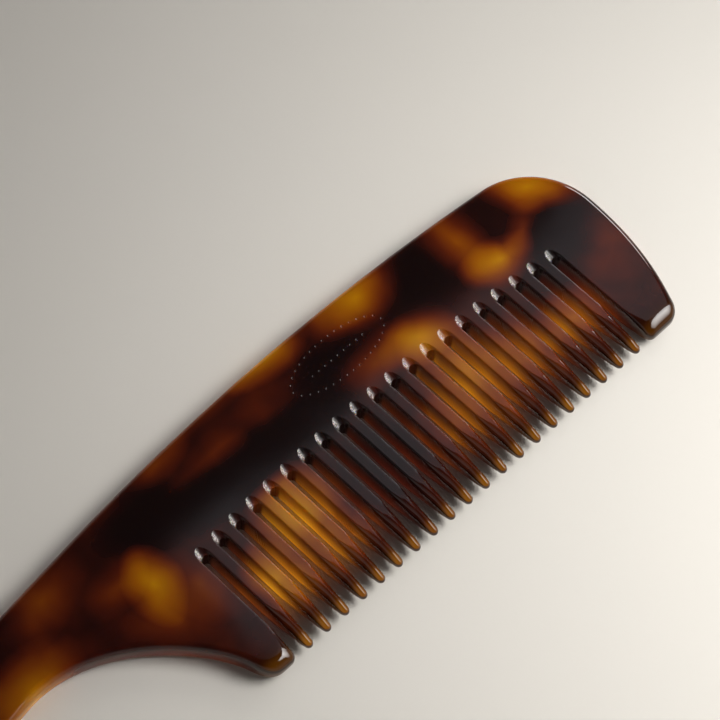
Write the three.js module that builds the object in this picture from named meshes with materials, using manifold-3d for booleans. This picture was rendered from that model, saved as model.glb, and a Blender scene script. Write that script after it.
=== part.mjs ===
// Handled rake comb, sawn from one sheet of tortoiseshell cellulose acetate.
// Millimetres, +Z up. The comb lies flat on z = 0: +X runs from the handle to the free end,
// +Y towards the plain back edge, and the teeth point along -Y. The origin is under the
// middle of the comb. One body of material is divided, face to face, where its shape changes:
// handle, back, the two guard teeth and the row of thin teeth.
import * as THREE from 'three';
import { mergeVertices } from 'three/addons/utils/BufferGeometryUtils.js';
import Module from 'manifold-3d';

const wasm = await Module();
wasm.setup();

// ---- driving dimensions ------------------------------------------------------------------
const LENGTH = 193.2;             // whole comb, handle end to free end
const HEIGHT = 43.3;              // back edge to tooth tips
const THICKNESS = 4.4;            // sheet thickness
const EDGE_BEVEL = 1.0;           // rounding of the outer edge, across the face
const EDGE_BEVEL_DEPTH = 1.2;     // the same rounding, down the edge

const PITCH = 4.2;                // tooth to tooth
const TOOTH_COUNT = 20;           // thin teeth between the two guard teeth
const SLOT_WIDTH = 2.1;           // saw cut between teeth
const FIRST_SLOT_X = -1.5;        // centre of the slot beside the handle's guard tooth

const CREST_X = 36.9;             // both long arcs peak above this point
const BACK_RADIUS = 467;          // back edge, a shallow arc
const ROOT_RADIUS = 441;          // line of slot roots, nearly parallel to the back
const ROOT_CREST_Y = 3.35;        // floor of the deepest slot
const SHOULDER_X = -14;           // where the handle meets the toothed part

const HANDLE_BACK_X = -18;        // the back arc runs on into the straight handle here
const HANDLE_NOSE = 8;            // radius of the handle's round end
const HANDLE_UNDER_SLOPE = 0.17;  // underside of the handle, against the comb's length
const FILLET_X = -40;             // the finger fillet starts here and ends on the guard tooth
const FILLET_REACH = [15.5, 8];   // how far each end of the fillet holds its direction
const GUARD_SIDE_SLOPE = 3.5;     // steepness of the guard tooth's outer side
const GUARD_TIP_LEFT = 7.7;       // outer side of the guard tooth, left of the first slot
const GUARD_TIP_RISE = 3.9;       // height of that point above the blunt tip
const GUARD_SHORTER = 0.1;        // the guard teeth end this much short of the thin teeth

const CORNER_RADIUS = 14.4;       // round corner between the back and the free end
const END_LEAN = 4.6;             // how far the free end draws in from corner to tip
const TIP_CHAMFER = 1.1;          // slot-side corner of each guard tooth's tip

const FLUTE_LENGTH = 1.6;         // sloped relief that runs out of each slot root
const FLUTE_DEPTH = 1.0;

// thin tooth: stations from root to tip as [part of length, half width, half height,
// corner inset across, corner inset down], in millimetres after the first number
const TOOTH_HALF_WIDTH = (PITCH - SLOT_WIDTH) / 2;
const TOOTH_HALF_HEIGHT = THICKNESS / 2;
const TOOTH_STATIONS = [
  [0.00, TOOTH_HALF_WIDTH, TOOTH_HALF_HEIGHT, 0.12, 0.12],
  [0.56, TOOTH_HALF_WIDTH, TOOTH_HALF_HEIGHT, 0.14, 0.14],
  [0.70, 1.04, 2.10, 0.60, 0.70],
  [0.82, 1.02, 1.80, 0.80, 0.95],
  [0.92, 0.97, 1.40, 0.70, 0.85],
  [0.975, 0.80, 1.00, 0.55, 0.60],
  [1.00, 0.36, 0.45, 0.22, 0.28],
];

// ---- small helpers -----------------------------------------------------------------------
const END_X = LENGTH / 2;
const BACK_Y = HEIGHT / 2;
const TIP_Y = -HEIGHT / 2;
const LAST_SLOT_X = FIRST_SLOT_X + TOOTH_COUNT * PITCH;
const ARC_SEGMENTS = 12;
const MIN_STEP = 0.02;
const CUT = THICKNESS * 2;        // cutters pass well through the sheet

const arcDrop = (x, radius) => radius - Math.sqrt(radius ** 2 - (x - CREST_X) ** 2);
const backY = (x) => BACK_Y - arcDrop(x, BACK_RADIUS);
const rootY = (x) => ROOT_CREST_Y - arcDrop(x, ROOT_RADIUS);
const toothX = (i) => FIRST_SLOT_X + (i - 0.5) * PITCH;

function toSolid(geometry) {
  const bare = geometry.index ? geometry.toNonIndexed() : geometry;
  bare.deleteAttribute('normal');
  bare.deleteAttribute('uv');
  const merged = mergeVertices(bare, 1e-4);
  return new wasm.Manifold(new wasm.Mesh({
    numProp: 3,
    vertProperties: new Float32Array(merged.attributes.position.array),
    triVerts: new Uint32Array(merged.index.array),
  }));
}

function toGeometry(solid) {
  const mesh = solid.getMesh();
  const geometry = new THREE.BufferGeometry();
  geometry.setAttribute('position', new THREE.BufferAttribute(mesh.vertProperties, mesh.numProp));
  geometry.setIndex(new THREE.BufferAttribute(mesh.triVerts, 1));
  geometry.computeVertexNormals();
  return geometry;
}

// a straight-sided cutter with the given plan, through the whole sheet
function cutter(points) {
  const plan = new THREE.Shape(points.map(([x, y]) => new THREE.Vector2(x, y)));
  const geometry = new THREE.ExtrudeGeometry(plan, { depth: CUT, bevelEnabled: false });
  geometry.translate(0, 0, (THICKNESS - CUT) / 2);
  return toSolid(geometry);
}

// ---- the blank: the comb's whole outline with its rounded edge, before the slots ----------
function blankOutline() {
  // handle: its back runs straight on from the back arc, tangent to the round nose
  const backLean = Math.asin((CREST_X - HANDLE_BACK_X) / BACK_RADIUS);
  const underLean = Math.atan(HANDLE_UNDER_SLOPE);
  const noseX = -END_X + HANDLE_NOSE;
  const noseY = backY(HANDLE_BACK_X) - (HANDLE_BACK_X - noseX) * Math.tan(backLean)
    - HANDLE_NOSE / Math.cos(backLean);

  // finger fillet, from the handle's underside round to the guard tooth's outer side
  const filletY = noseY + (FILLET_X - noseX) * HANDLE_UNDER_SLOPE - HANDLE_NOSE / Math.cos(underLean);
  const [handleReach, guardReach] = FILLET_REACH;
  const sideLean = Math.atan(GUARD_SIDE_SLOPE);
  const blunt = TIP_Y + GUARD_SHORTER;
  const sideX = FIRST_SLOT_X - GUARD_TIP_LEFT;
  const sideY = blunt + GUARD_TIP_RISE;

  // free end: a round corner tangent to the back arc and to the end
  const cornerX = END_X - CORNER_RADIUS;
  const cornerLean = Math.asin((cornerX - CREST_X) / (BACK_RADIUS - CORNER_RADIUS));
  const cornerY = BACK_Y - BACK_RADIUS + (BACK_RADIUS - CORNER_RADIUS) * Math.cos(cornerLean);
  const endTipX = END_X - END_LEAN;

  const outline = new THREE.Shape();
  outline.moveTo(
    noseX + HANDLE_NOSE * Math.sin(underLean),
    noseY - HANDLE_NOSE * Math.cos(underLean),
  );
  outline.lineTo(FILLET_X, filletY);
  outline.bezierCurveTo(
    FILLET_X + handleReach * Math.cos(underLean),
    filletY + handleReach * Math.sin(underLean),
    sideX - guardReach * Math.cos(sideLean),
    sideY + guardReach * Math.sin(sideLean),
    sideX,
    sideY,
  );
  outline.bezierCurveTo(sideX + 0.8, sideY - 2.8, sideX + 1.9, blunt, sideX + 3.9, blunt);
  outline.lineTo(endTipX - 3.4, blunt);
  outline.quadraticCurveTo(endTipX - 0.6, blunt, endTipX, blunt + 3.2);
  outline.quadraticCurveTo(END_X, -8, END_X, cornerY);
  outline.absarc(cornerX, cornerY, CORNER_RADIUS, 0, Math.PI / 2 - cornerLean, false);
  outline.absarc(
    CREST_X,
    BACK_Y - BACK_RADIUS,
    BACK_RADIUS,
    Math.PI / 2 - cornerLean,
    Math.PI / 2 + backLean,
    false,
  );
  outline.absarc(
    noseX,
    noseY,
    HANDLE_NOSE,
    Math.PI / 2 + backLean,
    Math.PI * 1.5 + underLean,
    false,
  );
  return new THREE.Shape(withoutRepeats(outline.getPoints(ARC_SEGMENTS)));
}

// joins between arcs and lines repeat a point, which would leave a face with no area
function withoutRepeats(points) {
  return points.filter((p, k) => p.distanceTo(points[(k + 1) % points.length]) > MIN_STEP);
}

function makeBlank() {
  const geometry = new THREE.ExtrudeGeometry(blankOutline(), {
    depth: THICKNESS - 2 * EDGE_BEVEL_DEPTH,
    bevelThickness: EDGE_BEVEL_DEPTH,
    bevelSize: EDGE_BEVEL,
    bevelOffset: -EDGE_BEVEL,
    bevelSegments: 3,
  });
  geometry.translate(0, 0, EDGE_BEVEL_DEPTH);
  return toSolid(geometry);
}

// ---- plan regions that divide the blank ---------------------------------------------------
const guardTopNear = rootY(FIRST_SLOT_X);
const guardTopFar = rootY(LAST_SLOT_X);
const slotNear = FIRST_SLOT_X - SLOT_WIDTH / 2;
const slotFar = LAST_SLOT_X + SLOT_WIDTH / 2;
const OUTSIDE = 150;

function handleRegion() {
  return [[-OUTSIDE, -OUTSIDE], [SHOULDER_X, -OUTSIDE], [SHOULDER_X, OUTSIDE], [-OUTSIDE, OUTSIDE]];
}

function nearGuardRegion() {
  return [[SHOULDER_X, -OUTSIDE], [slotNear - TIP_CHAMFER, -OUTSIDE],
    [slotNear - TIP_CHAMFER, TIP_Y], [slotNear, TIP_Y + TIP_CHAMFER],
    [slotNear, guardTopNear], [SHOULDER_X, guardTopNear]];
}

function farGuardRegion() {
  return [[slotFar + TIP_CHAMFER, -OUTSIDE], [OUTSIDE, -OUTSIDE], [OUTSIDE, guardTopFar],
    [slotFar, guardTopFar], [slotFar, TIP_Y + TIP_CHAMFER], [slotFar + TIP_CHAMFER, TIP_Y]];
}

// everything behind the slot roots; each tooth stands on its own short level step
function backRegion() {
  const front = [[SHOULDER_X, guardTopNear], [slotNear, guardTopNear]];
  for (let i = 1; i <= TOOTH_COUNT; i += 1) {
    const x = toothX(i);
    front.push([x - TOOTH_HALF_WIDTH, rootY(x)], [x + TOOTH_HALF_WIDTH, rootY(x)]);
  }
  front.push([slotFar, guardTopFar], [OUTSIDE, guardTopFar]);
  return [...front, [OUTSIDE, OUTSIDE], [SHOULDER_X, OUTSIDE]];
}

// sloped relief at the root of one slot, on one face (side +1 top, -1 underneath)
function fluteCutter(i, side) {
  const x = FIRST_SLOT_X + (i - 1) * PITCH;
  const y = rootY(x);
  const over = 1;
  const wedge = new THREE.Shape([
    new THREE.Vector2(-over, FLUTE_DEPTH * (1 + over / FLUTE_LENGTH)),
    new THREE.Vector2(FLUTE_LENGTH, 0),
    new THREE.Vector2(FLUTE_LENGTH, -over),
    new THREE.Vector2(-over, -over),
  ]);
  const geometry = new THREE.ExtrudeGeometry(wedge, { depth: SLOT_WIDTH, bevelEnabled: false });
  geometry.translate(0, 0, -SLOT_WIDTH / 2);
  // the wedge's own x runs along +Y and its own y down into the sheet
  const face = side > 0 ? THICKNESS : 0;
  const basis = new THREE.Matrix4().makeBasis(
    new THREE.Vector3(0, 1, 0),
    new THREE.Vector3(0, 0, -side),
    new THREE.Vector3(-side, 0, 0),
  );
  geometry.applyMatrix4(basis);
  geometry.translate(x, y, face);
  return toSolid(geometry);
}

// ---- one thin tooth, lofted through eight-sided sections ----------------------------------
function makeTooth(i) {
  const x = toothX(i);
  const root = rootY(x);
  const mid = THICKNESS / 2;
  const ring = ([part, a, b, across, down]) => {
    const y = root + (TIP_Y - root) * part;
    return [
      [x + a, y, mid - b + down], [x + a, y, mid + b - down],
      [x + a - across, y, mid + b], [x - a + across, y, mid + b],
      [x - a, y, mid + b - down], [x - a, y, mid - b + down],
      [x - a + across, y, mid - b], [x + a - across, y, mid - b],
    ];
  };
  const sides = 8;
  const rings = TOOTH_STATIONS.map(ring);
  const positions = rings.flat(2);
  const index = [];
  for (let r = 0; r < rings.length - 1; r += 1) {
    for (let k = 0; k < sides; k += 1) {
      const a = r * sides + k;
      const b = r * sides + ((k + 1) % sides);
      index.push(a, b, a + sides, b, b + sides, a + sides);
    }
  }
  const last = (rings.length - 1) * sides;
  for (let k = 1; k < sides - 1; k += 1) {
    index.push(0, k + 1, k);
    index.push(last, last + k, last + k + 1);
  }
  const geometry = new THREE.BufferGeometry();
  geometry.setAttribute('position', new THREE.Float32BufferAttribute(positions, 3));
  geometry.setIndex(index);
  geometry.computeVertexNormals();
  return geometry;
}

// ---- assembly ------------------------------------------------------------------------------
const comb = new THREE.Group();

function addPiece(name, geometry, color) {
  const material = new THREE.MeshStandardMaterial({ color, roughness: 0.12, metalness: 0 });
  const mesh = new THREE.Mesh(geometry, material);
  mesh.name = name;
  comb.add(mesh);
}

const blank = makeBlank();
const cutFromBlank = (region) => blank.intersect(cutter(region));

let back = cutFromBlank(backRegion());
for (let i = 1; i <= TOOTH_COUNT + 1; i += 1) {
  back = back.subtract(fluteCutter(i, 1)).subtract(fluteCutter(i, -1));
}

addPiece('handle', toGeometry(cutFromBlank(handleRegion())), 0x3a160c);
addPiece('back', toGeometry(back), 0x43190c);
addPiece('guard_tooth_handle_end', toGeometry(cutFromBlank(nearGuardRegion())), 0x3a1a12);
addPiece('guard_tooth_free_end', toGeometry(cutFromBlank(farGuardRegion())), 0x3a1a12);
for (let i = 1; i <= TOOTH_COUNT; i += 1) {
  addPiece(`tooth_${String(i).padStart(2, '0')}`, makeTooth(i), 0x8a4208);
}

export default comb;
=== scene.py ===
import math
from bisect import bisect_left

import bmesh
import bpy
from bpy.props import FloatProperty, FloatVectorProperty, PointerProperty
from mathutils import Matrix, Vector
from mathutils.geometry import delaunay_2d_cdt


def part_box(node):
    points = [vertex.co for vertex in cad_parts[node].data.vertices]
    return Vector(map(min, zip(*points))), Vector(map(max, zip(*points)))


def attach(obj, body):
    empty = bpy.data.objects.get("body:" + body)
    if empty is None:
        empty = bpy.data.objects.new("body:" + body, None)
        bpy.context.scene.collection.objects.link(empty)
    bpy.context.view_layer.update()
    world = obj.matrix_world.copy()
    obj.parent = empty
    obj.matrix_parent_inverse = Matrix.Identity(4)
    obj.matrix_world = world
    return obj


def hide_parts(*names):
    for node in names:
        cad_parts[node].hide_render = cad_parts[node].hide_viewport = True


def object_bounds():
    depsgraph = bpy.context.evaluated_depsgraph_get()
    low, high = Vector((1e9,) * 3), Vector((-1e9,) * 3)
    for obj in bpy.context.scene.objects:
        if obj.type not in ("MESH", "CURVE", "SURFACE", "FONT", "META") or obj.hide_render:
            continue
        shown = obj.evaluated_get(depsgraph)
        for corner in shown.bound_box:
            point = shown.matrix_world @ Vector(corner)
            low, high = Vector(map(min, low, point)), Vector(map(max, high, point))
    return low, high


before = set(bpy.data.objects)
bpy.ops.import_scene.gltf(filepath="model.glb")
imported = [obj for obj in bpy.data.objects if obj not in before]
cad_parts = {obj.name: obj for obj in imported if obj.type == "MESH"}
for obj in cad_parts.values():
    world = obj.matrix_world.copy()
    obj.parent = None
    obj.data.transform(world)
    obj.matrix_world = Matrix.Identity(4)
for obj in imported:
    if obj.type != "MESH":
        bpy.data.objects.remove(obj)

bl_info = {
    "name": "Tortoiseshell comb",
    "version": (1, 0, 0),
    "blender": (4, 5, 0),
    "location": "3D View > Sidebar > Comb",
    "description": "A handled hair comb sawn from tortoiseshell cellulose acetate",
    "category": "Add Mesh",
}

# Plan drawing and depths are worked out in millimetres, and scaled once when a mesh is made.
MM = 0.001

TOOTH_NODES = sorted(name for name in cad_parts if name.startswith("tooth_"))


def plain(box):
    return [[float(c) for c in corner] for corner in box]


def node_box(name):
    lo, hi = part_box(name)
    return lo / MM, hi / MM


CAD_BOX = plain(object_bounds())

# ---- what the CAD model says, in millimetres ----------------------------------------------
LOW, HIGH = (Vector(corner) / MM for corner in CAD_BOX)
THICK = HIGH.z
TOOTH_BOXES = [node_box(name) for name in TOOTH_NODES]
TOOTH_X = [(lo.x + hi.x) / 2 for lo, hi in TOOTH_BOXES]
PITCH = (TOOTH_X[-1] - TOOTH_X[0]) / (len(TOOTH_X) - 1)
TOOTH_HALF = (TOOTH_BOXES[0][1].x - TOOTH_BOXES[0][0].x) / 2
SLOT_HALF = PITCH / 2 - TOOTH_HALF
SLOT_X = [TOOTH_X[0] - PITCH / 2 + PITCH * k for k in range(len(TOOTH_X) + 1)]
NEAR_GUARD = node_box("guard_tooth_handle_end")
FAR_GUARD = node_box("guard_tooth_free_end")


def circle_through(a, b, c):
    """Centre and radius of the circle through three points of the plan."""
    d = 2 * (a.x * (b.y - c.y) + b.x * (c.y - a.y) + c.x * (a.y - b.y))
    aa, bb, cc = a.length_squared, b.length_squared, c.length_squared
    centre = Vector((
        (aa * (b.y - c.y) + bb * (c.y - a.y) + cc * (a.y - b.y)) / d,
        (aa * (c.x - b.x) + bb * (a.x - c.x) + cc * (b.x - a.x)) / d,
    ))
    return centre, (a - centre).length


# the slot roots lie on one long arc, read back from three teeth
ROOT_CENTRE, ROOT_RADIUS = circle_through(*(
    Vector((TOOTH_X[i], TOOTH_BOXES[i][1].y)) for i in (0, len(TOOTH_X) // 2, len(TOOTH_X) - 1)
))


def root_y(x):
    return ROOT_CENTRE.y + math.sqrt(ROOT_RADIUS ** 2 - (x - ROOT_CENTRE.x) ** 2)


# all thin teeth are alike below this line, 0.7 mm under the lowest slot's round root
TOOTH_TOP = min(root_y(x) for x in SLOT_X) - SLOT_HALF - 0.7
TOOTH_LENGTH = TOOTH_TOP - LOW.y

# ---- the outline's own dimensions, in millimetres, which no box gives ---------------------
CREST_X = 36.9              # the back arc is highest above this point
BACK_RADIUS = 467.0         # back edge, a shallow arc
CORNER_RADIUS = 14.4        # round corner between the back and the free end
HANDLE_BACK_X = -18.0       # the back arc runs on into the straight handle here
HANDLE_NOSE = 8.0           # radius of the handle's round end
HANDLE_UNDER_SLOPE = 0.17   # underside of the handle, against the comb's length
FILLET_X = -40.0            # the finger fillet starts here, and ends on the guard tooth
FILLET_REACH = (15.5, 8.0)  # how far each end of the fillet holds its direction
GUARD_SIDE_SLOPE = 3.5      # steepness of the near guard tooth's outer side
GUARD_TURN = 1.2            # rounding of a guard tooth's tip, on its slot side
GUARD_TIP = 7.4             # height of a guard tooth's tip, up to its plain slot wall
TIP_ROUND = 0.95            # length of a thin tooth's round end

# the guard teeth's outer sides end in the first two points, and the third bends the free end
NEAR_SIDE = Vector((SLOT_X[0] - 7.7, NEAR_GUARD[0].y + 3.9))
FAR_SIDE = Vector((HIGH.x - 4.6, FAR_GUARD[0].y + 3.2))
END_BEND = Vector((HIGH.x, -8.0))

# how rough the slot walls were left, from 0 polished to 1 straight from the cutter, and the
# roughness under which a strip counts as a plain wall or a polished edge
WALL_SAWN = 0.35
PLAIN_BELOW = 0.4


# ---- colours ------------------------------------------------------------------------------
def tone(code):
    """A linear RGBA colour from an sRGB hex value."""
    parts = [int(code[i:i + 2], 16) / 255 for i in (1, 3, 5)]
    linear = [p / 12.92 if p <= 0.04045 else ((p + 0.055) / 1.055) ** 2.4 for p in parts]
    return (*linear, 1.0)


# ---- settings -----------------------------------------------------------------------------
class CombShape(bpy.types.PropertyGroup):
    edge_inset: FloatProperty(
        name="Edge inset", description="Width of the rounded outer edge, across the face",
        default=1.26 * MM, unit="LENGTH")
    edge_drop: FloatProperty(
        name="Edge drop", description="Depth of the rounded outer edge, down the side",
        default=1.35 * MM, unit="LENGTH")
    edge_break: FloatProperty(
        name="Edge break", description="Softening of the sawn edges along each slot",
        default=0.26 * MM, unit="LENGTH")
    flute_length: FloatProperty(
        name="Flute length", description="How far the relief runs out past each slot root",
        default=1.7 * MM, unit="LENGTH")
    flute_depth: FloatProperty(
        name="Flute depth", description="Depth of the relief at the slot root",
        default=0.5 * MM, unit="LENGTH")
    pit_depth: FloatProperty(
        name="Ornament depth", description="Depth of the small pressed ornament on the back",
        default=0.12 * MM, unit="LENGTH")


class CombFinish(bpy.types.PropertyGroup):
    black: FloatVectorProperty(
        name="Black", description="Darkest clouds of the sheet",
        subtype="COLOR", size=4, min=0, max=1, default=tone("#0c0808"))
    umber: FloatVectorProperty(
        name="Umber", description="Dark brown between the clouds",
        subtype="COLOR", size=4, min=0, max=1, default=tone("#2c0e0b"))
    russet: FloatVectorProperty(
        name="Russet", description="Red-brown rim of each cloud",
        subtype="COLOR", size=4, min=0, max=1, default=tone("#6b250c"))
    amber: FloatVectorProperty(
        name="Amber", description="Clear amber inside the light clouds",
        subtype="COLOR", size=4, min=0, max=1, default=tone("#9c5a08"))
    honey: FloatVectorProperty(
        name="Honey", description="Lightest honey colour, in the thin edges",
        subtype="COLOR", size=4, min=0, max=1, default=tone("#c08408"))
    roughness: FloatProperty(
        name="Roughness", description="Roughness of the polished faces",
        subtype="FACTOR", min=0, max=1, default=0.07)
    sawn_roughness: FloatProperty(
        name="Sawn roughness", description="Roughness inside the sawn slots",
        subtype="FACTOR", min=0, max=1, default=0.3)


class CombStage(bpy.types.PropertyGroup):
    floor: FloatVectorProperty(
        name="Floor", description="Colour of the plain floor",
        subtype="COLOR", size=4, min=0, max=1, default=tone("#e6e2da"))
    soft_power: FloatProperty(
        name="Soft power", description="Power of the soft light over the teeth",
        default=0.37, min=0, unit="POWER")
    side_power: FloatProperty(
        name="Side power", description="Power of the low light past the free end",
        default=0.3, min=0, unit="POWER")
    sheen_power: FloatProperty(
        name="Sheen power", description="Power of the overhead panel",
        default=0.125, min=0, unit="POWER")


# ---- mesh code ----------------------------------------------------------------------------
class Sheet:
    """Collects faces in millimetres and welds their corners as they come."""

    def __init__(self):
        self.places, self.points, self.faces, self.sawn = {}, [], [], []

    def corner(self, x, y, z):
        key = (round(x, 4), round(y, 4), round(z, 4))
        if key not in self.places:
            self.places[key] = len(self.points)
            self.points.append((x * MM, y * MM, z * MM))
        return self.places[key]

    def face(self, *corners, sawn=0.0):
        kept = [c for k, c in enumerate(corners) if c != corners[k - 1]]
        if len(set(kept)) == len(kept) > 2:
            self.faces.append(kept)
            self.sawn.append(sawn)

    def mesh(self, name):
        made = bpy.data.meshes.new(name)
        made.from_pydata(self.points, [], self.faces)
        if made.validate(verbose=False):
            raise RuntimeError(f"{name} has bad faces")
        marks = made.attributes.new("sawn", "FLOAT", "FACE")
        marks.data.foreach_set("value", self.sawn)
        return made


class Station:
    """One station of the edge that runs round the comb.

    side is where the side stands in plan, and face where the flat face begins. drop is how
    deep the rounding goes between the two, and fullness how full it is, 1 flat and 2 round.
    sawn is how rough it was left, and stop is set where the strip stops."""

    def __init__(self, side, face, drop, fullness=2.2, sawn=0.0, stop=False):
        self.side, self.face, self.drop = side, face, drop
        self.fullness, self.sawn, self.stop = fullness, sawn, stop


EDGE_RINGS = 8


def edge_profile(fullness):
    """Pairs of (share across, share down) from the flat face to the side."""
    turn = [j / (EDGE_RINGS - 1) * math.pi / 2 for j in range(EDGE_RINGS)]
    return [(abs(math.sin(a)) ** (2 / fullness), abs(math.cos(a)) ** (2 / fullness)) for a in turn]


def station_column(sheet, station):
    """Corners of one station from the upper face round to the lower face."""
    upper = []
    for across, down in edge_profile(station.fullness):
        x, y = station.face.lerp(station.side, across)
        z = THICK - station.drop * (1 - down)
        upper.append((x, y, z))
    lower = [(x, y, THICK - z) for x, y, z in reversed(upper)]
    return [sheet.corner(*p) for p in upper + lower]


def bezier(a, b, c, d, count, last=False):
    """Points on a cubic curve, without its end unless last is set."""
    points = []
    for k in range(count + (1 if last else 0)):
        t = k / count
        s = 1 - t
        points.append(s ** 3 * a + 3 * s * s * t * b + 3 * s * t * t * c + t ** 3 * d)
    return points


def straight(a, b, count, last=False):
    return [a.lerp(b, k / count) for k in range(count + (1 if last else 0))]


def arc(centre, radius, start, end, count, last=False):
    steps = count + (1 if last else 0)
    turns = [start + (end - start) * k / count for k in range(steps)]
    return [centre + radius * Vector((math.cos(a), math.sin(a))) for a in turns]


def inset_stations(curve, inset, drop):
    """Stations along a plan curve whose flat face begins at the same inset all the way."""
    stations = []
    for k, p in enumerate(curve):
        before = curve[max(k - 1, 0)]
        after = curve[min(k + 1, len(curve) - 1)]
        along = (after - before).normalized()
        inward = Vector((-along.y, along.x))
        stations.append(Station(p, p + inward * inset, drop))
    return stations


def outer_curves():
    """The comb's outer edge in plan, counter-clockwise, as the CAD outline runs."""
    back_centre = Vector((CREST_X, HIGH.y - BACK_RADIUS))

    back_lean = math.asin((CREST_X - HANDLE_BACK_X) / BACK_RADIUS)
    under_lean = math.atan(HANDLE_UNDER_SLOPE)
    nose = Vector((LOW.x + HANDLE_NOSE, 0))
    lean_y = back_centre.y + BACK_RADIUS * math.cos(back_lean)
    nose.y = (lean_y - (HANDLE_BACK_X - nose.x) * math.tan(back_lean)
              - HANDLE_NOSE / math.cos(back_lean))

    under_start = nose + HANDLE_NOSE * Vector((math.sin(under_lean), -math.cos(under_lean)))
    fillet = Vector((FILLET_X, 0))
    fillet.y = (nose.y + (fillet.x - nose.x) * HANDLE_UNDER_SLOPE
                - HANDLE_NOSE / math.cos(under_lean))

    corner_x = HIGH.x - CORNER_RADIUS
    inner_radius = BACK_RADIUS - CORNER_RADIUS
    corner_lean = math.asin((corner_x - CREST_X) / inner_radius)
    corner = back_centre + inner_radius * Vector((math.sin(corner_lean), math.cos(corner_lean)))

    handle_reach, guard_reach = FILLET_REACH
    side_lean = math.atan(GUARD_SIDE_SLOPE)
    underside = straight(under_start, fillet, 10) + bezier(
        fillet,
        fillet + handle_reach * Vector((math.cos(under_lean), math.sin(under_lean))),
        NEAR_SIDE + guard_reach * Vector((-math.cos(side_lean), math.sin(side_lean))),
        NEAR_SIDE, 44, last=True)

    quarter = math.pi / 2
    end_top = Vector((HIGH.x, corner.y))
    away = Vector((-math.sin(back_lean), math.cos(back_lean)))
    rest = (
        bezier(FAR_SIDE, FAR_SIDE.lerp(END_BEND, 2 / 3), end_top.lerp(END_BEND, 2 / 3),
               end_top, 22)
        + arc(corner, CORNER_RADIUS, 0, quarter - corner_lean, 30)
        + arc(back_centre, BACK_RADIUS, quarter - corner_lean, quarter + back_lean, 70)
        + straight(back_centre + BACK_RADIUS * away, nose + HANDLE_NOSE * away, 14)
        + arc(nose, HANDLE_NOSE, quarter + back_lean, 3 * quarter + under_lean, 28, last=True)
    )
    return underside, rest


def guard_station(side, face, share, shape):
    """A station of a guard tooth's tip; share is 0 at its outer side and 1 up its slot side."""
    drop, brk = shape.edge_drop / MM, shape.edge_break / MM
    # deepest at the tip, then back to the plain broken edge up the slot
    extra, deepest_at, fade_from, fade_over = 0.35, 0.6, 0.68, 0.32
    deep = drop + extra * math.sin(min(share / deepest_at, 1) * math.pi / 2)
    fade = min(max((share - fade_from) / fade_over, 0), 1)
    return Station(side, face, deep + (brk - deep) * fade, 2.0 - 0.5 * math.sin(share * math.pi))


def near_guard_tip(shape):
    """The blunt tip of the guard tooth beside the handle, from its outer side to its slot side."""
    inset, brk = shape.edge_inset / MM, shape.edge_break / MM
    y = NEAR_GUARD[0].y
    wall = SLOT_X[0] - SLOT_HALF
    lean = math.atan(GUARD_SIDE_SLOPE)
    flat = NEAR_SIDE + Vector((math.sin(lean), math.cos(lean))) * inset
    blunt = Vector((NEAR_SIDE.x + 3.9, y))
    sides = (
        bezier(NEAR_SIDE, NEAR_SIDE + Vector((0.8, -2.8)), NEAR_SIDE + Vector((1.9, -3.9)),
               blunt, 12)
        + straight(blunt, Vector((wall - GUARD_TURN, y)), 3)
        + arc(Vector((wall - GUARD_TURN, y + GUARD_TURN)), GUARD_TURN, -math.pi / 2, 0, 8)
        + straight(Vector((wall, y + GUARD_TURN)), Vector((wall, y + GUARD_TIP)), 9, last=True)
    )
    level, bend = Vector((flat.x + 2.5, y + 2.3)), Vector((wall - 1.5, y + 3.0))
    faces = (
        bezier(flat, flat + Vector((0.25, -0.9)), Vector((flat.x + 1.0, y + 2.35)), level, 12)
        + bezier(level, Vector((flat.x + 3.1, y + 2.28)), Vector((wall - 1.9, y + 2.5)), bend, 11)
        + bezier(bend, Vector((wall - 0.9, y + 3.75)), Vector((wall - brk, y + 5.4)),
                 Vector((wall - brk, y + GUARD_TIP)), 9, last=True)
    )
    last = len(sides) - 1
    pairs = enumerate(zip(sides, faces))
    return [guard_station(side, face, k / last, shape) for k, (side, face) in pairs][1:]


def far_guard_tip(shape):
    """The blunt tip of the guard tooth at the free end, from its slot side to the comb's end."""
    inset, brk = shape.edge_inset / MM, shape.edge_break / MM
    y = FAR_GUARD[0].y
    wall = SLOT_X[-1] + SLOT_HALF
    along = (END_BEND - FAR_SIDE).normalized()
    flat = FAR_SIDE + Vector((-along.y, along.x)) * inset
    blunt = Vector((FAR_SIDE.x - 3.4, y))
    sides = (
        straight(Vector((wall, y + GUARD_TIP)), Vector((wall, y + GUARD_TURN)), 9)
        + arc(Vector((wall + GUARD_TURN, y + GUARD_TURN)), GUARD_TURN, math.pi, math.pi * 1.5, 8)
        + straight(Vector((wall + GUARD_TURN, y)), blunt, 4)
        + bezier(blunt, Vector((FAR_SIDE.x - 1.5, y)), Vector((FAR_SIDE.x - 0.35, y + 1.5)),
                 FAR_SIDE, 12, last=True)
    )
    bend, level = Vector((wall + 1.5, y + 3.0)), Vector((FAR_SIDE.x - 3.6, y + 2.2))
    faces = (
        bezier(Vector((wall + brk, y + GUARD_TIP)), Vector((wall + brk, y + 5.4)),
               Vector((wall + 0.9, y + 3.75)), bend, 9)
        + bezier(bend, Vector((wall + 1.9, y + 2.5)), Vector((FAR_SIDE.x - 4.2, y + 2.2)),
                 level, 12)
        + bezier(level, Vector((FAR_SIDE.x - 2.4, y + 2.2)), flat - along, flat, 12, last=True)
    )
    last = len(sides) - 1
    pairs = enumerate(zip(sides, faces))
    return [guard_station(side, face, 1 - k / last, shape) for k, (side, face) in pairs][:-1]


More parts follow.
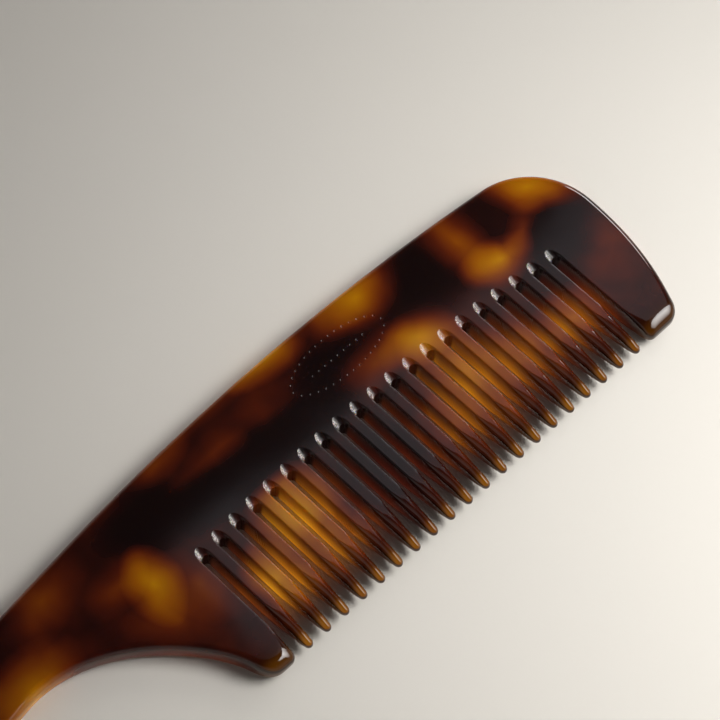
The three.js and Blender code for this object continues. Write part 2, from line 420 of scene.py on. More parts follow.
def slot_stations(k, shape):
    """One slot: up its left wall, round the root with its relief, and down its right wall."""
    x, brk = SLOT_X[k], shape.edge_break / MM
    long, deep = shape.flute_length / MM, shape.flute_depth / MM
    spring = root_y(x) - SLOT_HALF
    first, last = k == 0, k == len(SLOT_X) - 1
    left_y = NEAR_GUARD[0].y + GUARD_TIP if first else TOOTH_TOP
    right_y = FAR_GUARD[0].y + GUARD_TIP if last else TOOTH_TOP

    def wall(side, y, stop=False):
        at = Vector((x + side * SLOT_HALF, y))
        return Station(at, at + Vector((side * brk, 0)), brk, 2.0, WALL_SAWN, stop)

    stations = [] if first else [wall(-1, left_y)]
    stations.append(wall(-1, (left_y + spring) / 2))
    steps = 18
    for j in range(steps + 1):
        turn = math.pi * (1 - j / steps)
        c, s = math.cos(turn), math.sin(turn)
        side = Vector((x + SLOT_HALF * c, spring + SLOT_HALF * s))
        face = Vector((x + (SLOT_HALF + brk) * c, spring + (SLOT_HALF + long) * s))
        # the relief is deepest, flattest and roughest in the middle of the root
        drop, fullness = brk + (deep - brk) * s ** 0.8, 2.0 - 1.1 * s ** 0.5
        stations.append(Station(side, face, drop, fullness, WALL_SAWN + (1 - WALL_SAWN) * s))
    stations.append(wall(1, (right_y + spring) / 2))
    if not last:
        stations.append(wall(1, right_y, stop=True))
    return stations


def inside(point, loops):
    """Whether a plan point is inside the first loop and outside the holes (even-odd rule)."""
    x, y = point
    crossings = 0
    for loop in loops:
        for k, a in enumerate(loop):
            b = loop[k - 1]
            if (a.y > y) != (b.y > y) and x < (b.x - a.x) * (y - a.y) / (b.y - a.y) + a.x:
                crossings += 1
    return crossings % 2 == 1


def flat_face(sheet, loops, z, upward):
    """A flat face with holes, as triangles between its own corners."""
    points = [p for loop in loops for p in loop]
    edges, start = [], 0
    for loop in loops:
        edges += [(start + k, start + (k + 1) % len(loop)) for k in range(len(loop))]
        start += len(loop)
    found, _, triangles, origins, _, _ = delaunay_2d_cdt(points, edges, [], 0, 1e-7)
    if len(found) != len(points):
        raise RuntimeError("the edge of the flat face crosses itself")
    exact = [points[o[0]] for o in origins]
    for triangle in triangles:
        corners = [exact[i] for i in triangle]
        centre = (corners[0] + corners[1] + corners[2]) / 3
        if not inside(centre, loops):
            continue
        a, b, c = corners
        ahead = (b - a).cross(c - a) > 0
        if ahead != upward:
            corners.reverse()
        sheet.face(*(sheet.corner(p.x, p.y, z) for p in corners))


# Small pressed ornament on the back: an oval of beads round a straight row of them. It is a
# plain pattern of the maker's own and stands for no mark or lettering.
ORNAMENT_CENTRE = Vector((41.2, 12.9))


def ornament_outlines():
    """Outlines of the pits, clockwise, each with its centre."""
    spacing, half, row, radius = 1.5, Vector((10.6, 3.9)), 9, 0.27
    fine, sides = 720, 12
    angles = [math.tau * k / fine for k in range(fine)]
    oval = [Vector((half.x * math.cos(a), half.y * math.sin(a))) for a in angles]
    reach = [0.0]
    for a, b in zip(oval, oval[1:]):
        reach.append(reach[-1] + (b - a).length)
    beads = round(reach[-1] / spacing)
    places = [oval[bisect_left(reach, reach[-1] * k / beads)] for k in range(beads)]
    places += [Vector((spacing * (k - (row - 1) / 2), 0)) for k in range(row)]
    centres = [ORNAMENT_CENTRE + place for place in places]
    turns = [math.tau * j / sides for j in range(sides)]
    rim = [radius * Vector((math.cos(a), -math.sin(a))) for a in turns]
    return [([at + p for p in rim], at) for at in centres]


def press_pits(sheet, pits, depth):
    """Round pits, from each rim down to its middle, as rows of (share of radius, of depth)."""
    levels = ((1.0, 0.0), (0.86, 0.45), (0.6, 0.8), (0.3, 0.96))
    for ring, centre in pits:
        rows = [[sheet.corner(*centre.lerp(p, r), THICK - depth * d) for p in ring]
                for r, d in levels]
        for outer, inner in zip(rows, rows[1:]):
            for j in range(len(ring)):
                sheet.face(outer[j - 1], inner[j - 1], inner[j], outer[j])
        middle = sheet.corner(centre.x, centre.y, THICK - depth)
        for j in range(len(ring)):
            sheet.face(rows[-1][j - 1], middle, rows[-1][j])


def comb_body_mesh(shape):
    """Everything but the thin teeth, open where each thin tooth joins on."""
    underside, rest = outer_curves()
    inset, drop = shape.edge_inset / MM, shape.edge_drop / MM
    stations = inset_stations(underside, inset, drop)
    stations += near_guard_tip(shape)
    for k in range(len(SLOT_X)):
        stations += slot_stations(k, shape)
    stations += far_guard_tip(shape)
    stations += inset_stations(rest, inset, drop)[:-1]

    sheet = Sheet()
    columns = [station_column(sheet, s) for s in stations]
    for k, station in enumerate(stations):
        if station.stop:
            continue
        following = stations[(k + 1) % len(stations)]
        here, after = columns[k], columns[(k + 1) % len(columns)]
        cut = max(station.sawn, following.sawn)
        for j in range(len(here) - 1):
            # on a plain slot wall only the wall itself is sawn, and its broken edges are polished
            polished = cut < PLAIN_BELOW and j != EDGE_RINGS - 1
            sheet.face(here[j], here[j + 1], after[j + 1], after[j], sawn=0.0 if polished else cut)
    loop = [s.face for s in stations]
    pits = ornament_outlines()
    flat_face(sheet, [loop] + [ring for ring, _ in pits], THICK, True)
    flat_face(sheet, [loop], 0.0, False)
    press_pits(sheet, pits, shape.pit_depth / MM)
    return sheet.mesh("comb_body")


def between(table, d):
    """Value at d from a table of (place, value), in rising order of place, in straight steps."""
    for (d0, v0), (d1, v1) in zip(table, table[1:]):
        if d <= d1:
            return v0 + (v1 - v0) * max(d - d0, 0) / (d1 - d0)
    return table[-1][1]


def tooth_section(d, brk):
    """Half width, side half height, ridge half height, flat half width and fullness at a
    distance d from the tip. The last centimetre is ground to a ridge from all four corners."""
    half = THICK / 2
    wide, square = TOOTH_HALF, half - brk
    w = between(((0.8, 0.76), (2.0, 0.90), (5.0, 1.01), (7.0, wide)), d)
    q = between(((0.8, 0.30), (2.0, 0.42), (5.0, 0.90), (8.5, 1.60), (10.2, square)), d)
    h = between(((0.8, 0.96), (2.0, 1.50), (4.0, 2.00), (6.0, 2.18), (7.5, half)), d)
    f = between(((5.2, 0.0), (10.2, wide - brk)), d)
    full = between(((2.0, 1.5), (5.0, 1.22), (9.6, 1.2), (10.2, 2.0)), d)
    if d < TIP_ROUND:
        k = math.sqrt(max(1 - ((TIP_ROUND - d) / TIP_ROUND) ** 2, 0))
        w, q, h = w * k, q * k, h * k ** 0.9
    return w, q, h, f, full


def tooth_mesh(shape):
    """One thin tooth, from its open upper end at y = 0 down to its tip."""
    brk = shape.edge_break / MM
    steps = 8
    rounding = [TIP_ROUND * (1 - math.cos(a * math.pi / 2 / steps)) for a in range(steps)]
    places = rounding + [
        TIP_ROUND, 1.25, 1.6, 2.0, 2.6, 3.3, 4.1, 4.7, 5.2, 5.8, 6.6, 7.5, 8.5, 9.3, 9.8,
        10.2, 12.5, 15.5, TOOTH_LENGTH]
    sheet = Sheet()
    rows = []
    for d in sorted(places, reverse=True):
        w, q, h, f, full = tooth_section(d, brk)
        y = d - TOOTH_LENGTH
        profile = edge_profile(full)
        quarter = [(f + (w - f) * across, q + (h - q) * down) for across, down in profile]
        right = quarter + [(x, -z) for x, z in reversed(quarter)]
        ring = right + [(-x, z) for x, z in reversed(right)]
        rows.append((d, [sheet.corner(x, y, THICK / 2 + z) for x, z in ring]))
    # the two walls are sawn down to 5 mm from the tip, and polished where they were ground
    walls, ground = (EDGE_RINGS, 3 * EDGE_RINGS), 5
    for (d, upper), (_, lower) in zip(rows, rows[1:]):
        for j in range(len(upper)):
            sawn = WALL_SAWN if j in walls and d > ground else 0.0
            sheet.face(upper[j - 1], upper[j], lower[j], lower[j - 1], sawn=sawn)
    return sheet.mesh("comb_tooth")


# ---- the row of teeth, in geometry nodes ---------------------------------------------------
def add(tree, kind, links=(), stops=(), **settings):
    """Adds one node; settings are its properties, stops are a ramp's places and colours in rising
    order, and links are pairs of input and socket or value."""
    node = tree.nodes.new(kind)
    for name, value in settings.items():
        setattr(node, name, value)
    for k, (at, colour) in enumerate(stops):
        element = node.color_ramp.elements[k] if k < 2 else node.color_ramp.elements.new(at)
        element.position, element.color = at, colour
    for key, source in links:
        if isinstance(source, bpy.types.NodeSocket):
            tree.links.new(source, node.inputs[key])
        else:
            node.inputs[key].default_value = source
    return node


def teeth_tree():
    """Sets a row of equal teeth on a straight line and welds them to the comb's body."""
    tree = bpy.data.node_groups.new("Comb teeth", "GeometryNodeTree")
    for name, way, kind in (
        ("Geometry", "INPUT", "Geometry"),
        ("Tooth", "INPUT", "Object"),
        ("Count", "INPUT", "Int"),
        ("First Tooth", "INPUT", "Vector"),
        ("Pitch", "INPUT", "Float"),
        ("Weld Distance", "INPUT", "Float"),
        ("Material", "INPUT", "Material"),
        ("Geometry", "OUTPUT", "Geometry"),
    ):
        tree.interface.new_socket(name, in_out=way, socket_type="NodeSocket" + kind)

    given = add(tree, "NodeGroupInput").outputs
    step = add(tree, "ShaderNodeCombineXYZ", [("X", given["Pitch"])])
    row = add(tree, "GeometryNodeMeshLine", [
        ("Count", given["Count"]), ("Start Location", given["First Tooth"]),
        ("Offset", step.outputs[0])], mode="OFFSET")
    tooth = add(tree, "GeometryNodeObjectInfo", [
        ("Object", given["Tooth"])], transform_space="ORIGINAL")
    teeth = add(tree, "GeometryNodeInstanceOnPoints", [
        ("Points", row.outputs["Mesh"]), ("Instance", tooth.outputs["Geometry"])])
    joined = add(tree, "GeometryNodeJoinGeometry")
    tree.links.new(given["Geometry"], joined.inputs[0])
    tree.links.new(teeth.outputs[0], joined.inputs[0])
    real = add(tree, "GeometryNodeRealizeInstances", [("Geometry", joined.outputs[0])])
    welded = add(tree, "GeometryNodeMergeByDistance", [
        ("Geometry", real.outputs[0]), ("Distance", given["Weld Distance"])])
    finished = add(tree, "GeometryNodeSetMaterial", [
        ("Geometry", welded.outputs[0]), ("Material", given["Material"])])
    add(tree, "NodeGroupOutput", [("Geometry", finished.outputs[0])])
    return tree


def set_inputs(modifier, values):
    """Gives a modifier its inputs, each by its socket's identifier."""
    for item in modifier.node_group.interface.items_tree:
        if item.item_type == "SOCKET" and item.in_out == "INPUT" and item.name in values:
            modifier[item.identifier] = values[item.name]


# ---- materials ------------------------------------------------------------------------------
# Clouds of the sheet as (x, y, half length, half width, turn in degrees, strength), in
# millimetres on the comb's plan. A positive strength is clear amber, a negative one black.
CLOUDS = (
    (51.0, 19.8, 10.5, 6.6, -6, 0.72),
    (31.5, 20.8, 8.5, 3.8, 0, 0.78),
    (4.5, 19.4, 7.5, 3.0, 4, 0.3),
    (19.0, 21.5, 11.0, 3.0, 0, 0.26),
    (-11.2, 3.4, 4.6, 7.4, -20, 0.78),
    (-15.0, 7.4, 7.0, 3.8, 20, 0.3),
    (-6.0, -2.0, 5.5, 7.5, 12, 0.34),
    (-13.0, -4.0, 8.0, 5.0, -30, 0.24),
    (72.0, 14.5, 6.0, 10.0, 0, 0.44),
    (75.0, 6.9, 7.8, 4.6, -8, 0.7),
    (83.0, 8.2, 6.0, 3.4, 28, 0.34),
    (89.0, 14.5, 10.0, 5.6, -48, 0.78),
    (53.5, 5.6, 7.5, 5.0, 0, 0.64),
    (54.5, -5.0, 8.5, 13.0, 0, 0.62),
    (15.8, -2.8, 8.5, 8.5, 0, 0.88),
    (16.5, -12.5, 9.0, 4.5, 0, 0.42),
    (5.0, -10.0, 5.5, 7.0, 12, 0.78),
    (22.0, 15.0, 9.0, 4.5, 0, 0.14),
    (12.5, 13.0, 6.0, 4.0, 0, 0.27),
    (45.0, 7.5, 9.0, 4.5, 12, 0.3),
    (45.0, -10.0, 6.0, 6.0, 0, 0.3),
    (65.5, -8.0, 7.0, 8.0, 0, 0.44),
    (76.5, -9.5, 7.5, 6.0, 0, 0.5),
    (90.0, -3.0, 8.0, 7.0, 0, 0.2),
    (-38.0, 3.0, 11.0, 7.0, 14, 0.75),
    (-55.0, 13.0, 9.0, 6.0, -20, 0.8),
    (-72.0, 5.0, 12.0, 6.5, 10, 0.7),
    (-88.0, 10.0, 8.0, 7.0, 40, 0.6),
    (-26.0, 13.5, 9.0, 4.5, 10, 0.3),
    (61.0, 14.0, 11.0, 9.0, 0, -0.36),
    (79.5, 14.6, 6.5, 5.5, 0, -0.17),
    (85.0, 3.0, 10.0, 8.5, 0, -0.42),
    (16.0, 8.0, 26.0, 5.0, -4, -0.5),
    (40.0, 13.0, 9.0, 4.0, 0, -0.3),
    (-4.0, 14.0, 9.0, 5.5, 0, -0.35),
    (33.0, -8.0, 10.0, 12.0, 0, -0.2),
)
# each cloud fades out evenly, a little way past its half length and half width
CLOUD_REACH = 1.14

# the value of the plain sheet, before any cloud is added to it
PLAIN_SHEET = 0.16

# sizes of the acetate's patterns, in millimetres
STIR_SIZE, STIR_PUSH = 12, 4.0
MOTTLE_SIZE = 7
GRIT_SIZE = 0.25
RIB_SPACING = 0.35
RIPPLE_SIZE = 14


def cloud_field(tree, plan):
    """The value of the sheet over its plan, from 0, black, to 1, clear amber."""
    # the clouds have soft, slightly torn edges: the plan is stirred by a slow noise
    stir = add(tree, "ShaderNodeTexNoise", [
        ("Vector", plan), ("Scale", 1 / STIR_SIZE), ("Detail", 1.0), ("Roughness", 0.4)])
    shift = add(tree, "ShaderNodeVectorMath", [
        (0, stir.outputs["Color"]), (1, (0.5, 0.5, 0.5))], operation="SUBTRACT")
    stirred = add(tree, "ShaderNodeVectorMath", [
        (0, shift.outputs[0]), (1, (STIR_PUSH, STIR_PUSH, STIR_PUSH)), (2, plan)],
        operation="MULTIPLY_ADD").outputs[0]

    cloud = PLAIN_SHEET
    for x, y, long, wide, turn, strength in CLOUDS:
        spot = add(tree, "ShaderNodeMapping", [
            ("Vector", stirred), ("Location", (x, y, 0)),
            ("Rotation", (0, 0, math.radians(turn))),
            ("Scale", (long * CLOUD_REACH, wide * CLOUD_REACH, 1000))], vector_type="TEXTURE")
        fade = add(tree, "ShaderNodeTexGradient", [
            (0, spot.outputs[0])], gradient_type="SPHERICAL")
        cloud = add(tree, "ShaderNodeMath", [
            (0, fade.outputs["Fac"]), (1, strength), (2, cloud)],
            operation="MULTIPLY_ADD").outputs[0]

    # a fainter, finer mottle keeps the plain areas from going flat
    mottle = add(tree, "ShaderNodeTexNoise", [
        ("Vector", stirred), ("Scale", 1 / MOTTLE_SIZE), ("Detail", 1.5), ("Roughness", 0.45)])
    fleck = add(tree, "ShaderNodeMapRange", [
        ("Value", mottle.outputs["Fac"]), ("From Min", 0.3), ("From Max", 0.7),
        ("To Min", -0.05), ("To Max", 0.07)])
    return add(tree, "ShaderNodeMath", [
        (0, cloud), (1, fleck.outputs[0])], operation="ADD", use_clamp=True).outputs[0]


def acetate_material(finish):
    """Cellulose acetate sheet in a tortoiseshell mix, sawn and then tumbled to a high polish.

    The eye meets a wet-looking gloss over soft amber and black clouds, a painted emission glow
    that stands in for the light coming through the thin teeth and edges, and fine saw ribs left on
    the walls of the slots."""
    made = bpy.data.materials.new("tortoiseshell_acetate")
    made.use_nodes = True
    tree = made.node_tree
    shader = tree.nodes["Principled BSDF"]
    where = add(tree, "ShaderNodeTexCoord").outputs["Object"]
    plan = add(tree, "ShaderNodeVectorMath", [
        (0, where), ("Scale", 1 / MM)], operation="SCALE").outputs[0]
    place = add(tree, "ShaderNodeSeparateXYZ", [(0, plan)]).outputs
    normal = add(tree, "ShaderNodeNewGeometry").outputs["Normal"]
    facing = add(tree, "ShaderNodeSeparateXYZ", [(0, normal)]).outputs
    sawn = add(tree, "ShaderNodeAttribute", attribute_name="sawn").outputs["Fac"]
    cloud = cloud_field(tree, plan)

    # the base colour is darkened towards the thin tooth ends, so that the painted glow set below
    # stands in for the light that comes through them
    tip_shade = add(tree, "ShaderNodeMapRange", [
        ("Value", place["Y"]), ("From Min", LOW.y + 6.0), ("From Max", LOW.y + 2.0),
        ("To Min", 1.0), ("To Max", 0.15)], interpolation_type="SMOOTHSTEP")
    body = add(tree, "ShaderNodeValToRGB", [("Fac", cloud)], stops=(
        (0.0, finish.black), (0.22, finish.umber), (0.45, finish.russet),
        (0.72, finish.amber), (1.0, finish.honey)))
    body.color_ramp.interpolation = "B_SPLINE"
    coloured = add(tree, "ShaderNodeVectorMath", [
        (0, body.outputs["Color"]), ("Scale", tip_shade.outputs[0])], operation="SCALE")
    # painted highlight: the side of each run-out that faces the free end and the side light is
    # whitened in the speckle of the cutter's grit; the grit is the cut's own, and keeping the
    # white to the lit side paints the light
    grit = add(tree, "ShaderNodeTexNoise", [
        ("Vector", plan), ("Scale", 1 / GRIT_SIZE), ("Detail", 1.0)])
    run_out = add(tree, "ShaderNodeMapRange", [
        ("Value", sawn), ("From Min", 0.6), ("From Max", 0.9)], interpolation_type="SMOOTHSTEP")
    # the painted highlight is kept to faces turned towards +X, where the side light falls
    lit_side = add(tree, "ShaderNodeMapRange", [
        ("Value", facing["X"]), ("From Min", 0.08), ("From Max", 0.3)],
        interpolation_type="SMOOTHSTEP")
    grit_highlight = add(tree, "ShaderNodeMapRange", [
        ("Value", grit.outputs["Fac"]), ("From Min", 0.4), ("From Max", 0.6),
        ("To Min", 0.15), ("To Max", 0.85)], interpolation_type="SMOOTHSTEP").outputs[0]
    for factor in (run_out, lit_side):
        grit_highlight = add(tree, "ShaderNodeMath", [
            (0, grit_highlight), (1, factor.outputs[0])], operation="MULTIPLY").outputs[0]
    # mixing the pale colour into the base colour paints the highlight on the lit side of the
    # run-outs
    surface = add(tree, "ShaderNodeMix", [
        ("Factor", grit_highlight), (6, coloured.outputs[0]), (7, tone("#e2dad4"))], data_type="RGBA")
    tree.links.new(surface.outputs[2], shader.inputs["Base Color"])

    # Painted light: an emission glow stands in for the light that comes through the clear acetate.
    # On the slot walls it is painted low down and away from the roots, and it is strongest where
    # the cloud is light.
    steep = add(tree, "ShaderNodeMath", [
        (0, add(tree, "ShaderNodeMath", [(0, facing["Z"])], operation="ABSOLUTE").outputs[0]),
        (1, -1.0), (2, 1.0)], operation="MULTIPLY_ADD", use_clamp=True).outputs[0]
    depth = add(tree, "ShaderNodeMapRange", [
        ("Value", place["Z"]), ("From Min", THICK), ("From Max", 0.0)])
    low = add(tree, "ShaderNodeMath", [(0, depth.outputs[0]), (1, 1.4)], operation="POWER")
    along = add(tree, "ShaderNodeMapRange", [
        ("Value", place["Y"]), ("From Min", LOW.y + 2.5), ("From Max", LOW.y + 9.0),
        ("To Min", 0.28), ("To Max", 1.0)], interpolation_type="SMOOTHSTEP")
    open_wall = add(tree, "ShaderNodeMapRange", [
        ("Value", sawn), ("From Min", 0.38), ("From Max", 0.62),
        ("To Min", 0.9), ("To Max", 0.04)], interpolation_type="SMOOTHSTEP")
    below_root = add(tree, "ShaderNodeMapRange", [
        ("Value", place["Y"]), ("From Min", TOOTH_TOP + 0.5), ("From Max", TOOTH_TOP - 7.0),
        ("To Min", 0.55), ("To Max", 1.0)], interpolation_type="SMOOTHSTEP")
    walls = steep
    for factor in (low, along, below_root, open_wall):
        walls = add(tree, "ShaderNodeMath", [
            (0, walls), (1, factor.outputs[0])], operation="MULTIPLY").outputs[0]

    # painted light: the upper side of each thin tooth end is given an emission pool of light, and
    # a dull red painted glow above it; the guard teeth, outside the first and last slots, get
    # about a third of that painted glow
    row_middle, row_half = (SLOT_X[0] + SLOT_X[-1]) / 2, (SLOT_X[-1] - SLOT_X[0]) / 2
    thin = add(tree, "ShaderNodeMath", [
        (0, place["X"]), (1, row_middle), (2, row_half)], operation="COMPARE")
    near_tip = add(tree, "ShaderNodeMapRange", [
        ("Value", place["Y"]), ("From Min", LOW.y + 4.6), ("From Max", LOW.y + 1.0),
        ("To Max", 0.6)], interpolation_type="SMOOTHSTEP")
    upward = add(tree, "ShaderNodeMapRange", [
        ("Value", facing["Z"]), ("From Min", 0.3), ("From Max", 0.75)],
        interpolation_type="SMOOTHSTEP")
    # painted light: a dull red emission a little above each tooth end
    upper_glow = add(tree, "ShaderNodeMapRange", [
        ("Value", place["Y"]), ("From Min", LOW.y + 11.0), ("From Max", LOW.y + 5.0),
        ("To Max", 0.28)], interpolation_type="SMOOTHSTEP")
    pool = add(tree, "ShaderNodeMath", [
        (0, near_tip.outputs[0]), (1, upper_glow.outputs[0])], operation="MAXIMUM").outputs[0]
    spread = add(tree, "ShaderNodeMapRange", [
        ("Value", thin.outputs[0]), ("To Min", 0.35), ("To Max", 1.0)])
    for factor in (upward, spread):
        pool = add(tree, "ShaderNodeMath", [
            (0, pool), (1, factor.outputs[0])], operation="MULTIPLY").outputs[0]
    # the rounded edge that faces +Y, along the back, gets a little painted glow too
    back_rim_glow = add(tree, "ShaderNodeMath", [
        (0, facing["Y"]), (1, 0.35)], operation="MULTIPLY", use_clamp=True)
    share = walls
    for other in (pool, back_rim_glow.outputs[0]):
        share = add(tree, "ShaderNodeMath", [
            (0, share), (1, other)], operation="MAXIMUM").outputs[0]

    # saw ribs down the slot walls stripe that painted glow too; a wave texture's own bands are
    # 2 pi / 20 apart at a scale of 1
    ribs = add(tree, "ShaderNodeTexWave", [
        ("Vector", plan), ("Scale", 2 * math.pi / RIB_SPACING / 20), ("Distortion", 1.5),
        ("Detail", 2.0), ("Detail Scale", 1.2)], bands_direction="Y")
    across = add(tree, "ShaderNodeMath", [(0, facing["X"])], operation="ABSOLUTE")
    ridged = add(tree, "ShaderNodeMath", [
        (0, ribs.outputs["Fac"]), (1, across.outputs[0])], operation="MULTIPLY").outputs[0]
    ridged = add(tree, "ShaderNodeMath", [
        (0, ridged), (1, sawn)], operation="MULTIPLY").outputs[0]
    lined = add(tree, "ShaderNodeMath", [
        (0, ridged), (1, 0.9), (2, 0.86)], operation="MULTIPLY_ADD")
    share = add(tree, "ShaderNodeMath", [
        (0, share), (1, lined.outputs[0])], operation="MULTIPLY").outputs[0]
    # the painted glow's colour follows the cloud, and is lighter near the thin tooth ends
    lifted = add(tree, "ShaderNodeMath", [
        (0, near_tip.outputs[0]), (1, 0.6), (2, cloud)],
        operation="MULTIPLY_ADD", use_clamp=True)
    warm = add(tree, "ShaderNodeValToRGB", [("Fac", lifted.outputs[0])], stops=(
        (0.0, tone("#3a0a05")), (0.25, tone("#6a2406")), (0.5, tone("#9a580b")),
        (0.75, tone("#c98515")), (1.0, tone("#dba21f"))))
    warm.color_ramp.interpolation = "B_SPLINE"
    glow = add(tree, "ShaderNodeVectorMath", [
        (0, warm.outputs["Color"]), ("Scale", share)], operation="SCALE")
    # the painted glow goes in as emission, so these parts shine though no lamp is in them
    tree.links.new(glow.outputs[0], shader.inputs["Emission Color"])
    shader.inputs["Emission Strength"].default_value = 1.0

    # sawn surfaces are duller than the tumbled faces
    gloss = add(tree, "ShaderNodeMapRange", [
        ("Value", sawn), ("To Min", finish.roughness), ("To Max", finish.sawn_roughness)])
    tree.links.new(gloss.outputs[0], shader.inputs["Roughness"])

    # relief: the cutter's grit, the ribs, and a polisher's slow ripple on the faces
    carved = add(tree, "ShaderNodeMath", [
        (0, grit.outputs["Fac"]), (1, run_out.outputs[0]), (2, ridged)],
        operation="MULTIPLY_ADD")
    cut = add(tree, "ShaderNodeBump", [
        ("Height", carved.outputs[0]), ("Strength", 0.6), ("Distance", 0.04 * MM)])
    ripple = add(tree, "ShaderNodeTexNoise", [
        ("Vector", plan), ("Scale", 1 / RIPPLE_SIZE), ("Detail", 1.0)])
    wavy = add(tree, "ShaderNodeBump", [
        ("Height", ripple.outputs["Fac"]), ("Strength", 0.35), ("Distance", 0.12 * MM),
        ("Normal", cut.outputs[0])])
    tree.links.new(wavy.outputs[0], shader.inputs["Normal"])

    shader.inputs["IOR"].default_value = 1.5
    shader.inputs["Subsurface Weight"].default_value = 0.3
    shader.inputs["Subsurface Radius"].default_value = (1.0, 0.4, 0.1)
    shader.inputs["Subsurface Scale"].default_value = 2.5 * MM
    return made


def floor_material(colour):
    """Matt painted board: even, pale and without grain, a little softened by a fine tooth."""
    made = bpy.data.materials.new("matt_painted_board")
    made.use_nodes = True
    tree = made.node_tree
    shader = tree.nodes["Principled BSDF"]
    shader.inputs["Base Color"].default_value = colour
    shader.inputs["Roughness"].default_value = 0.62
    where = add(tree, "ShaderNodeTexCoord").outputs["Object"]
    # the paint's fine tooth is 0.8 mm across, drawn coarse enough to show
    grain = add(tree, "ShaderNodeTexNoise", [
        ("Vector", where), ("Scale", 1 / (0.8 * MM)), ("Detail", 2.0)])
    bump = add(tree, "ShaderNodeBump", [
        ("Height", grain.outputs["Fac"]), ("Strength", 0.25), ("Distance", 0.02 * MM)])
    tree.links.new(bump.outputs[0], shader.inputs["Normal"])
    return made


# ---- stage ----------------------------------------------------------------------------------
def panel_light(name, place, aim, size, power, colour):
    data = bpy.data.lights.new(name, "AREA")
    data.shape, data.size, data.size_y = "RECTANGLE", size[0], size[1]
    data.energy, data.color = power, colour
    light = bpy.data.objects.new(name, data)
    light.location = place
    light.rotation_euler = (Vector(aim) - Vector(place)).to_track_quat("-Z", "Y").to_euler()
    bpy.context.scene.collection.objects.link(light)
    return light


def studio_world():
    """A dim room: a little lighter at the horizon than overhead."""
    world = bpy.data.worlds.new("studio")
    world.use_nodes = True
    tree = world.node_tree
    where = add(tree, "ShaderNodeTexCoord").outputs["Generated"]
    height = add(tree, "ShaderNodeSeparateXYZ", [(0, where)]).outputs["Z"]
    ramp = add(tree, "ShaderNodeValToRGB", [("Fac", height)], stops=(
        (0.22, tone("#aaa7a3")), (0.66, tone("#262424"))))
    ramp.color_ramp.interpolation = "EASE"
    tree.links.new(ramp.outputs["Color"], tree.nodes["Background"].inputs["Color"])
    bpy.context.scene.world = world


def direction(azimuth, elevation):
    """A unit vector towards an azimuth and elevation in degrees."""
    a, e = math.radians(azimuth), math.radians(elevation)
    return Vector((math.cos(e) * math.cos(a), math.cos(e) * math.sin(a), math.sin(e)))


def set_camera():
    """Above the handle end and in front of the teeth, looking down at the back's middle."""
    along, below_back = 0.7239, 11.96
    target = Vector((
        LOW.x + along * (HIGH.x - LOW.x), HIGH.y - below_back, THICK)) * MM
    distance, tilt = 511.6 * MM, math.radians(29.28)
    turn, roll = math.radians(218.36), math.radians(7.21)
    out = Vector((
        math.sin(tilt) * math.cos(turn), math.sin(tilt) * math.sin(turn), math.cos(tilt)))
    ahead = -out
    right = ahead.cross(Vector((-math.cos(turn), -math.sin(turn), 0))).normalized()
    up = right.cross(ahead)
    level = math.cos(roll) * right + math.sin(roll) * up
    upright = -math.sin(roll) * right + math.cos(roll) * up
    data = bpy.data.cameras.new("camera")
    data.sensor_width, data.lens = 36.0, 150.0
    data.clip_start, data.clip_end = 0.01, 50.0
    camera = bpy.data.objects.new("camera", data)
    camera.matrix_world = Matrix.Translation(target + out * distance) @ Matrix(
        (level, upright, out)).transposed().to_4x4()
    bpy.context.scene.collection.objects.link(camera)
    bpy.context.scene.camera = camera


# ---- operators ------------------------------------------------------------------------------
class COMB_OT_stage(bpy.types.Operator):
    """Add the plain floor, the soft studio light and the camera"""
    bl_idname = "comb.stage"
    bl_label = "Stage"

    def execute(self, context):
        stage = context.scene.comb_stage
        # a floor 8 m across, just under the comb so that the two faces don't share a plane
        half, z = 4.0, -0.05 * MM
        corners = [(-half, -half, z), (half, -half, z), (half, half, z), (-half, half, z)]
        data = bpy.data.meshes.new("floor")
        data.from_pydata(corners, [], [(0, 1, 2, 3)])
        data.materials.append(floor_material(stage.floor))
        floor = bpy.data.objects.new("floor", data)
        context.scene.collection.objects.link(floor)

        # the soft light stands over the teeth and falls mostly on the floor past the free end
        soft_place, soft_aim = Vector((256, -192, 222)) * MM, Vector((122, -104, 0)) * MM
        soft = panel_light(
            "soft", soft_place, soft_aim, (0.26, 0.26), stage.soft_power, (1, 0.985, 0.965))
        soft.data.spread = math.radians(66)
        # the small side light draws the bright lines along the edges and in the run-outs
        side_aim, side_distance = Vector((40, 0, 0)) * MM, 0.46
        panel_light(
            "side", side_aim + direction(17, 32) * side_distance, side_aim, (0.11, 0.08),
            stage.side_power, (1, 0.99, 0.98))
        # the overhead panel is the sheen that the flat faces mirror
        sheen_place = Vector((312, 45, 450)) * MM
        panel_light(
            "sheen", sheen_place, sheen_place - Vector((0, 0, 1)), (0.34, 0.222),
            stage.sheen_power, (0.97, 0.94, 1.0))
        studio_world()
        set_camera()
        context.scene.view_settings.view_transform = "Standard"
        return {"FINISHED"}


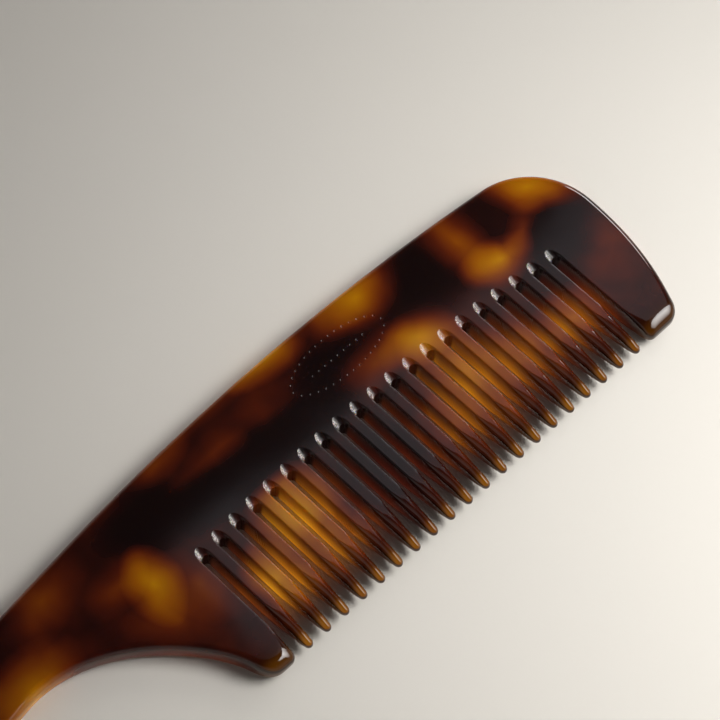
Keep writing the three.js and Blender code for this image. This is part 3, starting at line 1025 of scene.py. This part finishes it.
class COMB_OT_comb(bpy.types.Operator):
    """Build the comb: handle, back, guard teeth and the row of thin teeth in one piece"""
    bl_idname = "comb.comb"
    bl_label = "Comb"

    def execute(self, context):
        shape = context.scene.comb_shape
        material = acetate_material(context.scene.comb_finish)
        tooth = bpy.data.objects.new("tooth_pattern", tooth_mesh(shape))
        body = bpy.data.objects.new("comb_blank", comb_body_mesh(shape))
        for made in (tooth, body):
            context.scene.collection.objects.link(made)
        modifier = body.modifiers.new("Teeth", "NODES")
        modifier.node_group = teeth_tree()
        set_inputs(modifier, {
            "Tooth": tooth,
            "Count": len(TOOTH_X),
            "First Tooth": (TOOTH_X[0] * MM, TOOTH_TOP * MM, 0.0),
            "Pitch": PITCH * MM,
            "Weld Distance": 0.004 * MM,
            "Material": material,
        })
        context.view_layer.update()
        finished = body.evaluated_get(context.evaluated_depsgraph_get())
        data = bpy.data.meshes.new_from_object(finished)
        body.modifiers.clear()
        for made in (tooth, body):
            bpy.data.objects.remove(made)
        self.crease(data)
        data.name = "comb"
        comb = bpy.data.objects.new("comb", data)
        context.scene.collection.objects.link(comb)
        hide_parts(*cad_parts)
        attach(comb, "root")
        return {"FINISHED"}

    @staticmethod
    def crease(data):
        """Smooth the rounded edges, and keep the flat faces and sawn corners crisp."""
        level, sharp, face_edge = 0.99999, math.radians(32), math.radians(1.5)
        work = bmesh.new()
        work.from_mesh(data)
        loose = [e for e in work.edges if len(e.link_faces) != 2]
        if loose:
            raise RuntimeError(f"the comb is open along {len(loose)} edges")
        work.normal_update()
        for face in work.faces:
            face.smooth = True
        for edge in work.edges:
            one, two = edge.link_faces
            flat = (abs(one.normal.z) > level) != (abs(two.normal.z) > level)
            turn = one.normal.angle(two.normal, 0.0)
            edge.smooth = not (turn > sharp or (flat and turn > face_edge))
        work.to_mesh(data)
        work.free()


class COMB_PT_panel(bpy.types.Panel):
    """Sizes, finish and stage of the comb"""
    bl_idname = "COMB_PT_panel"
    bl_label = "Tortoiseshell comb"
    bl_space_type = "VIEW_3D"
    bl_region_type = "UI"
    bl_category = "Comb"

    def draw(self, context):
        for title, owner, step in (
            ("Comb", context.scene.comb_shape, "comb.comb"),
            ("Finish", context.scene.comb_finish, None),
            ("Stage", context.scene.comb_stage, "comb.stage"),
        ):
            box = self.layout.box()
            box.label(text=title)
            for name in owner.__annotations__:
                box.prop(owner, name)
            if step:
                box.operator(step)


CLASSES = (CombShape, CombFinish, CombStage, COMB_OT_stage, COMB_OT_comb, COMB_PT_panel)


def register():
    for one in CLASSES:
        bpy.utils.register_class(one)
    bpy.types.Scene.comb_shape = PointerProperty(type=CombShape)
    bpy.types.Scene.comb_finish = PointerProperty(type=CombFinish)
    bpy.types.Scene.comb_stage = PointerProperty(type=CombStage)


def unregister():
    for name in ("comb_shape", "comb_finish", "comb_stage"):
        delattr(bpy.types.Scene, name)
    for one in reversed(CLASSES):
        bpy.utils.unregister_class(one)


def main():
    register()
    bpy.ops.comb.stage()
    bpy.ops.comb.comb()


if __name__ == "__main__":
    main()
